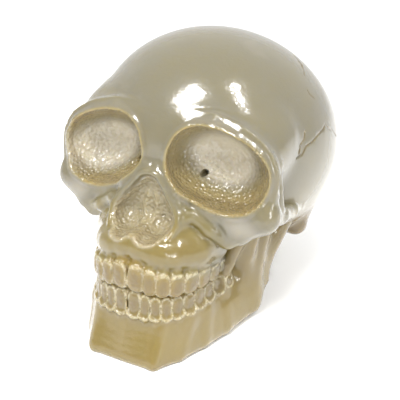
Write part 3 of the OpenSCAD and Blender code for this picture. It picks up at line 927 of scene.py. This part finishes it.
# Painted highlight along each upper tooth's outline, which is also where its crinkle lies.
border_at = 1.05
from_border = np.abs(off_tooth(upper_points, tooth_places, bite_line, upper_gum) - border_at)
add_number(upper_mesh, "tooth_outline_and_highlight", fade(from_border, 0.06, 0.22))
jaw_points = points_of(jaw_mesh) / MM
jaw_depth = resin_under(jaw_points, jaw_field, thickest)
jaw_warmth = 0.5 + 0.3 * jaw_depth + 0.25 * fade(jaw_points[:, 2], 4, 16)
add_number(jaw_mesh, "warmth_painted_light_and_shade", np.clip(jaw_warmth, 0, 1))
over_gum = fade(-jaw_points[:, 2], -14.5, -13) * fade(jaw_points[:, 1], -32, -26)
add_number(jaw_mesh, "stipple", 0.3 * over_gum)
add_number(jaw_mesh, "painted_glow", np.zeros(len(jaw_points)))
off_lower = off_tooth(jaw_points, lower_places, lower_gum, bite_line)
# Painted shade in the middle of each lower tooth.
add_number(jaw_mesh, "painted_shade_and_cracks", 0.8 * fade(off_lower, 0.3, 0.9))
# Painted highlight along each lower tooth's outline, which is also where its crinkle lies.
add_number(jaw_mesh, "tooth_outline_and_highlight", fade(np.abs(off_lower - border_at), 0.06, 0.22))
print("numbers stored for", len(upper_points) + len(jaw_points), "points")

# %% [markdown]
# ## Short names for nodes
#
# A material is a tree of nodes. Adding each node by hand takes several lines, so a few helpers
# make one each: a node with its inputs, a colour ramp, a sum, a mix, a noise and a bump.

# %% Material helpers
def make_material(name):
    material = bpy.data.materials.new(name)
    material.use_nodes = True
    tree = material.node_tree
    return material, tree, tree.nodes["Principled BSDF"]


def add(tree, kind, inputs=None, **settings):
    """A new node with its settings and inputs filled in. A socket as an input is linked."""
    made = tree.nodes.new(kind)
    for key, value in settings.items():
        setattr(made, key, value)
    for key, value in (inputs or {}).items():
        if isinstance(value, bpy.types.NodeSocket):
            tree.links.new(value, made.inputs[key])
        else:
            made.inputs[key].default_value = value
    return made


def ramp(tree, value, *stops):
    """A colour ramp; each stop is (position, (r, g, b))."""
    made = add(tree, "ShaderNodeValToRGB", {"Fac": value})
    while len(made.color_ramp.elements) < len(stops):
        made.color_ramp.elements.new(0.5)
    for element, (position, colour) in zip(made.color_ramp.elements, stops):
        element.position = position
        element.color = (*colour, 1)
    return made.outputs["Color"]


def maths(tree, operation, a, b=0.0, clamp=False):
    return add(tree, "ShaderNodeMath", {0: a, 1: b}, operation=operation, use_clamp=clamp).outputs[0]


def blend(tree, factor, a, b, how="MIX"):
    made = add(tree, "ShaderNodeMix", data_type="RGBA", blend_type=how)
    for key, value in ((0, factor), (6, a), (7, b)):
        if isinstance(value, bpy.types.NodeSocket):
            tree.links.new(value, made.inputs[key])
        else:
            made.inputs[key].default_value = value if key == 0 else (*value, 1)
    return made.outputs[2]


def noise(tree, place, scale, detail=2.0, roughness=0.5, distortion=0.0):
    return add(tree, "ShaderNodeTexNoise", {"Vector": place, "Scale": scale, "Detail": detail,
                                            "Roughness": roughness, "Distortion": distortion}).outputs[0]


def bump(tree, height, strength, distance, under=None):
    inputs = {"Height": height, "Strength": strength, "Distance": distance}
    if under is not None:
        inputs["Normal"] = under
    return add(tree, "ShaderNodeBump", inputs).outputs[0]


print("material helpers ready")

# %% [markdown]
# ## Clear resin
#
# Close to half of the light goes through the skin and bends. Of the rest, half scatters inside as
# haze. What goes through loses blue on the way, which turns thick places amber. A glass shader alone
# would look like water, and plain plastic would look painted, so the two are mixed. A clear coat
# gives the wet gloss of a polished mould, and a soft bump gives the slight orange peel that breaks
# up the highlights. The floors of the sockets get a very weak painted glow and a paler painted
# colour, for the light that reaches them through their thin wall. Painted shade darkens the resin
# round the openings, in the teeth and under the arch, and a painted highlight runs along each
# tooth's outline.

# %% Resin
peel_scale = 900
pebble_scale = 1100.0
resin_see_through = 0.45
resin_haze = 0.5
# Strength of the painted glow on the floors of the openings.
painted_glow_strength = 0.2
resin_density = 90.0


def resin(name, pale, grey, olive, amber):
    """Clear, slightly hazy resin that goes from grey through olive to amber with its warmth, with painted
    light and shade.
    """
    material, tree, shader = make_material(name)
    place = add(tree, "ShaderNodeTexCoord").outputs["Object"]
    warm_and_painted = add(tree, "ShaderNodeAttribute", attribute_name="warmth_painted_light_and_shade").outputs["Fac"]
    rough_mould = add(tree, "ShaderNodeAttribute", attribute_name="stipple").outputs["Fac"]
    shade_and_cracks = add(tree, "ShaderNodeAttribute", attribute_name="painted_shade_and_cracks").outputs["Fac"]
    painted_glow = add(tree, "ShaderNodeAttribute", attribute_name="painted_glow").outputs["Fac"]
    tooth_outline_and_highlight = add(tree, "ShaderNodeAttribute", attribute_name="tooth_outline_and_highlight").outputs["Fac"]
    clouds = noise(tree, place, 55, 3)
    uneven = maths(tree, "MULTIPLY", maths(tree, "SUBTRACT", clouds, 0.5), 0.35)
    amount = maths(tree, "ADD", warm_and_painted, uneven, True)
    colour = ramp(tree, amount, (0.0, pale), (0.25, grey), (0.6, olive), (1.0, amber))
    pebble_cells = {"Vector": place, "Scale": pebble_scale}
    pebbles = add(tree, "ShaderNodeTexVoronoi", pebble_cells, feature="SMOOTH_F1").outputs[0]
    specks = maths(tree, "MULTIPLY", maths(tree, "SUBTRACT", pebbles, 0.3), 1.8, True)
    # Painted light: the floors of the openings are made paler.
    colour = blend(tree, maths(tree, "MULTIPLY", painted_glow, 0.45), colour, (1.0, 0.92, 0.74))
    dark = maths(tree, "MULTIPLY", rough_mould, specks)
    colour = blend(tree, maths(tree, "MULTIPLY", dark, 0.4), colour, (0.26, 0.19, 0.07))
    # Painted shade round the openings, in the teeth and under the arch, and the dark cracks.
    colour = blend(tree, maths(tree, "MULTIPLY", shade_and_cracks, 0.8), colour, (0.2, 0.14, 0.05))
    crinkle = noise(tree, place, peel_scale, 3, 0.6, 1.0)
    # Painted highlight: a crinkled pale gleam along each tooth's outline.
    painted_gleam = ramp(tree, crinkle, (0.4, (0.15, 0.15, 0.15)), (0.6, (0.8, 0.8, 0.8)))
    colour = blend(tree, maths(tree, "MULTIPLY", tooth_outline_and_highlight, painted_gleam), colour, (0.8, 0.72, 0.48))
    tree.links.new(colour, shader.inputs["Base Color"])
    # Painted glow: the floors of the openings give off a little light, for the light coming through from
    # behind.
    tree.links.new(blend(tree, painted_glow, (0, 0, 0), (0.9, 0.8, 0.6)), shader.inputs["Emission Color"])
    shader.inputs["Emission Strength"].default_value = painted_glow_strength
    peel = noise(tree, place, peel_scale, 3)
    skin = bump(tree, peel, 0.25, 0.0002)
    crinkled = bump(tree, maths(tree, "MULTIPLY", crinkle, tooth_outline_and_highlight), 0.7, 0.0007, skin)
    stippled = bump(tree, maths(tree, "MULTIPLY", pebbles, rough_mould), 0.8, 0.0009, crinkled)
    tree.links.new(stippled, shader.inputs["Normal"])
    tree.links.new(stippled, shader.inputs["Coat Normal"])
    shader.inputs["Roughness"].default_value = 0.2
    shader.inputs["IOR"].default_value = 1.5
    shader.inputs["Transmission Weight"].default_value = resin_see_through
    shader.inputs["Subsurface Weight"].default_value = resin_haze
    shader.inputs["Subsurface Radius"].default_value = (0.005, 0.004, 0.002)
    shader.inputs["Subsurface Scale"].default_value = 1.0
    shader.inputs["Coat Weight"].default_value = 0.5
    shader.inputs["Coat Roughness"].default_value = 0.05
    through = {"Color": (0.8, 0.74, 0.46, 1), "Density": resin_density}
    absorb = add(tree, "ShaderNodeVolumeAbsorption", through)
    tree.links.new(absorb.outputs[0], tree.nodes["Material Output"].inputs["Volume"])
    return material


grey_resin = resin("grey_resin", (0.46, 0.42, 0.34), (0.235, 0.212, 0.142), (0.25, 0.2, 0.065),
                   (0.32, 0.215, 0.035))
amber_resin = resin("amber_resin", (0.27, 0.21, 0.09), (0.27, 0.205, 0.078), (0.27, 0.2, 0.066),
                    (0.3, 0.22, 0.05))
upper_mesh.materials.append(grey_resin)
jaw_mesh.materials.append(amber_resin)
print("resins:", grey_resin.name, amber_resin.name)

# %% [markdown]
# ## Moulded plastic and rubber
#
# The unit's housing, covers and fittings are injection moulded. Such a part is never one flat
# colour: the mould's spark-eroded skin gives a fine grain, and the plastic takes on a slight
# stain where water stands. One function makes every moulded finish, from white nylon to soft
# rubber, by changing its colours, gloss and grain.

# %% Moulded finishes
def moulded(name, colour, stain, roughness, grain, see_through=0.0, coat=0.0):
    material, tree, shader = make_material(name)
    place = add(tree, "ShaderNodeTexCoord").outputs["Object"]
    water_marks = noise(tree, place, 140, 4, 0.6)
    tint = ramp(tree, water_marks, (0.4, colour), (0.7, stain))
    speckle = noise(tree, place, 2600, 2)
    shade = maths(tree, "MULTIPLY", maths(tree, "SUBTRACT", speckle, 0.5), 0.5, True)
    tree.links.new(blend(tree, shade, tint, stain), shader.inputs["Base Color"])
    gloss = maths(tree, "ADD", maths(tree, "MULTIPLY", water_marks, 0.25), roughness - 0.12, True)
    tree.links.new(gloss, shader.inputs["Roughness"])
    tree.links.new(bump(tree, speckle, grain, 0.0001), shader.inputs["Normal"])
    shader.inputs["Transmission Weight"].default_value = see_through
    shader.inputs["Coat Weight"].default_value = coat
    return material


white_plastic = moulded("white_plastic", (0.8, 0.8, 0.77), (0.66, 0.66, 0.58), 0.35, 0.5)
clear_rubber = moulded("clear_rubber", (0.72, 0.76, 0.76), (0.62, 0.64, 0.58), 0.4, 0.35, see_through=0.5)
black_rubber = moulded("black_rubber", (0.02, 0.02, 0.022), (0.06, 0.06, 0.058), 0.6, 0.6)
clear_lens = moulded("clear_lens", (0.93, 0.97, 0.98), (0.86, 0.9, 0.88), 0.14, 0.05, see_through=0.9,
                     coat=0.5)
clear_epoxy = moulded("clear_epoxy", (0.92, 0.93, 0.86), (0.86, 0.86, 0.74), 0.16, 0.1, see_through=0.85)
clear_ring = moulded("clear_ring", (0.78, 0.8, 0.76), (0.7, 0.7, 0.62), 0.25, 0.2, see_through=0.6)
lead_sleeve = moulded("lead_sleeve", (0.55, 0.02, 0.02), (0.4, 0.02, 0.02), 0.3, 0.2)
black_epoxy = moulded("black_epoxy", (0.02, 0.02, 0.022), (0.05, 0.05, 0.055), 0.5, 0.8)
moulded_finishes = (white_plastic, clear_rubber, black_rubber, clear_lens, clear_epoxy, clear_ring,
                    lead_sleeve, black_epoxy)
print("moulded finishes:", len(moulded_finishes))

# %% [markdown]
# ## Turned steel
#
# The three cover screws are turned from bar, so fine rings run round their axis. An anisotropic
# shader could hint at them, but it needs tangents. A wave texture along Z draws the rings by
# itself, in colour, gloss and bump.

# %% Turned steel
def turned_steel(name):
    material, tree, shader = make_material(name)
    place = add(tree, "ShaderNodeTexCoord").outputs["Object"]
    waves = {"Vector": place, "Scale": 900.0, "Distortion": 3.0, "Detail": 2.0}
    rings = add(tree, "ShaderNodeTexWave", waves, bands_direction="Z").outputs["Fac"]
    metal = ramp(tree, rings, (0.2, (0.5, 0.51, 0.53)), (0.8, (0.72, 0.73, 0.75)))
    tree.links.new(metal, shader.inputs["Base Color"])
    tree.links.new(maths(tree, "ADD", maths(tree, "MULTIPLY", rings, 0.15), 0.22), shader.inputs["Roughness"])
    tree.links.new(bump(tree, rings, 0.3, 0.00005), shader.inputs["Normal"])
    shader.inputs["Metallic"].default_value = 1.0
    return material


steel = turned_steel("steel")
print("finish:", steel.name)

# %% [markdown]
# ## Circuit board
#
# A circuit board is green lacquer over copper tracks, which show as slightly raised, paler lines.
# Modelled tracks would be too fine to see, so the edges of a squared-off cell pattern draw them.

# %% Circuit board
def circuit_board(name):
    material, tree, shader = make_material(name)
    place = add(tree, "ShaderNodeTexCoord").outputs["Object"]
    tracks = add(tree, "ShaderNodeTexVoronoi", {"Vector": place, "Scale": 420.0, "Randomness": 0.35},
                 feature="DISTANCE_TO_EDGE", distance="CHEBYCHEV").outputs[0]
    on_track = ramp(tree, tracks, (0.1, (1, 1, 1)), (0.16, (0, 0, 0)))
    lacquer = ramp(tree, noise(tree, place, 700, 3), (0.3, (0.008, 0.07, 0.025)), (0.7, (0.012, 0.1, 0.035)))
    tree.links.new(blend(tree, on_track, lacquer, (0.03, 0.19, 0.07)), shader.inputs["Base Color"])
    tree.links.new(bump(tree, on_track, 0.6, 0.00005), shader.inputs["Normal"])
    shader.inputs["Roughness"].default_value = 0.3
    shader.inputs["Coat Weight"].default_value = 0.4
    return material


board_lacquer = circuit_board("board_lacquer")
print("finish:", board_lacquer.name)

# %% [markdown]
# ## Lights
#
# A small light is a white ceramic case with a yellow window of phosphor on top. Both are one CAD
# piece, so the material tells them apart by height.

# %% Lights
def light_chip(name, case_top):
    material, tree, shader = make_material(name)
    place = add(tree, "ShaderNodeTexCoord").outputs["Object"]
    height = add(tree, "ShaderNodeSeparateXYZ", {"Vector": place}).outputs["Z"]
    is_window = maths(tree, "GREATER_THAN", height, case_top)
    phosphor = ramp(tree, noise(tree, place, 3000, 3), (0.3, (0.86, 0.62, 0.08)), (0.7, (0.9, 0.72, 0.16)))
    ceramic = ramp(tree, noise(tree, place, 2200, 3), (0.35, (0.8, 0.8, 0.78)), (0.7, (0.72, 0.72, 0.68)))
    tree.links.new(blend(tree, is_window, ceramic, phosphor), shader.inputs["Base Color"])
    tree.links.new(bump(tree, noise(tree, place, 2600, 2), 0.3, 0.00005), shader.inputs["Normal"])
    shader.inputs["Roughness"].default_value = 0.3
    return material


chips_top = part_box("led_chips")[1][2]
window_height = 0.38 * MM
light_window = light_chip("light_window", chips_top - window_height)
print("finish:", light_window.name)

# %% [markdown]
# ## Air stone
#
# An air stone is grit fused in a mould: grains of several greys with pores between them that lie in
# shade. Real displacement would need a very dense mesh for a piece this small. Cells give each grain
# its own tone, and their edges give the pores, in bump and in colour, where the dark pores are
# painted shade.

# %% Air stone
def sintered_grit(name):
    material, tree, shader = make_material(name)
    place = add(tree, "ShaderNodeTexCoord").outputs["Object"]
    cells = {"Vector": place, "Scale": 1300.0}
    grains = add(tree, "ShaderNodeTexVoronoi", cells)
    pores = add(tree, "ShaderNodeTexVoronoi", cells, feature="DISTANCE_TO_EDGE").outputs[0]
    grain_shade = add(tree, "ShaderNodeSeparateColor", {"Color": grains.outputs["Color"]}).outputs[0]
    stone = ramp(tree, grain_shade, (0.0, (0.2, 0.25, 0.29)), (0.5, (0.32, 0.37, 0.4)),
                 (1.0, (0.5, 0.53, 0.54)))
    # The dark pores are painted shade.
    pores_and_painted_shade = ramp(tree, pores, (0.02, (0, 0, 0)), (0.14, (1, 1, 1)))
    tree.links.new(blend(tree, pores_and_painted_shade, (0.06, 0.07, 0.08), stone), shader.inputs["Base Color"])
    tree.links.new(bump(tree, pores_and_painted_shade, 1.0, 0.0003), shader.inputs["Normal"])
    shader.inputs["Roughness"].default_value = 0.9
    return material


mineral_stone = sintered_grit("mineral_stone")
print("finish:", mineral_stone.name)

# %% [markdown]
# ## Dress the unit
#
# The unit's pieces already have the right shape in the CAD model, so each keeps its mesh and only
# gets a finish. A table of finish and pieces is easier to check than a line for each piece.

# %% Give every CAD piece its finish
finishes = (
    (white_plastic, ("unit_housing", "base_plate", "lens_ring", "air_inlet", "air_duct", "stone_nipple")),
    (white_plastic, ("gland_body", "gland_nut")),
    (clear_rubber, ("base_gasket", "suction_cups", "lens_seal", "inlet_seal", "stone_sleeve")),
    (clear_ring, ("socket_ring",)),
    (clear_lens, ("lens",)),
    (clear_epoxy, ("potting",)),
    (black_rubber, ("gland_seal",)),
    (black_epoxy, ("colour_controller", "board_resistors")),
    (lead_sleeve, ("board_leads",)),
    (steel, ("cover_screws",)),
    (board_lacquer, ("led_board",)),
    (light_window, ("led_chips",)),
    (mineral_stone, ("air_stone",)),
)
for material, names in finishes:
    for name in names:
        for material_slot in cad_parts[name].material_slots:
            material_slot.material = material
dressed = sum(len(names) for material, names in finishes)
left_to_dress = len(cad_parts) - len(upper_nodes) - 1
print("CAD pieces with a finish:", dressed, "of", left_to_dress)

# %% [markdown]
# ## Floor and light
#
# Glossy, clear resin shows its surroundings, so the studio is plain: a pale floor, a white world
# and a few soft lights. The large one stands in front and overhead and lies on the forehead as one
# broad highlight. Three small ones on the skull's left add short glints on the brow and the side.

# %% Stage
floor_mesh = bpy.data.meshes.new("floor")
floor_half = 2
floor_corners = [(x * floor_half, y * floor_half, 0) for x, y in ((-1, -1), (1, -1), (1, 1), (-1, 1))]
floor_mesh.from_pydata(floor_corners, [], [(0, 1, 2, 3)])
floor = bpy.data.objects.new("floor", floor_mesh)
bpy.context.scene.collection.objects.link(floor)
floor_paint, _, floor_shader = make_material("floor_paint")
floor_shader.inputs["Base Color"].default_value = (0.95, 0.95, 0.95, 1)
floor_mesh.materials.append(floor_paint)


def softbox(name, place, size, power, roll=0.0):
    light = bpy.data.lights.new(name, "AREA")
    light.shape = "RECTANGLE"
    light.size, light.size_y = size
    light.energy = power
    lamp = bpy.data.objects.new(name, light)
    lamp.location = place
    lamp.rotation_euler = (view_target - Vector(place)).to_track_quat("-Z", "Y").to_euler()
    lamp.rotation_euler.rotate_axis("Z", math.radians(roll))
    bpy.context.scene.collection.objects.link(lamp)


softbox("key_light", (-0.01, -0.41, 0.71), (0.24, 0.40), 9, -27)
softbox("small_light", (0.36, 0.01, 0.74), (0.07, 0.07), 1.2)
softbox("side_light", (0.56, 0.06, 0.59), (0.06, 0.06), 1.2)
softbox("low_side_light", (0.68, -0.34, 0.24), (0.04, 0.3), 1.2)
world = bpy.data.worlds.new("studio")
bpy.context.scene.world = world
world.use_nodes = True
sky = world.node_tree.nodes["Background"]
sky.inputs["Color"].default_value = (1, 1, 1, 1)
sky.inputs["Strength"].default_value = 0.9
bpy.context.scene.view_settings.view_transform = "Standard"
print("lights:", len(bpy.data.lights))
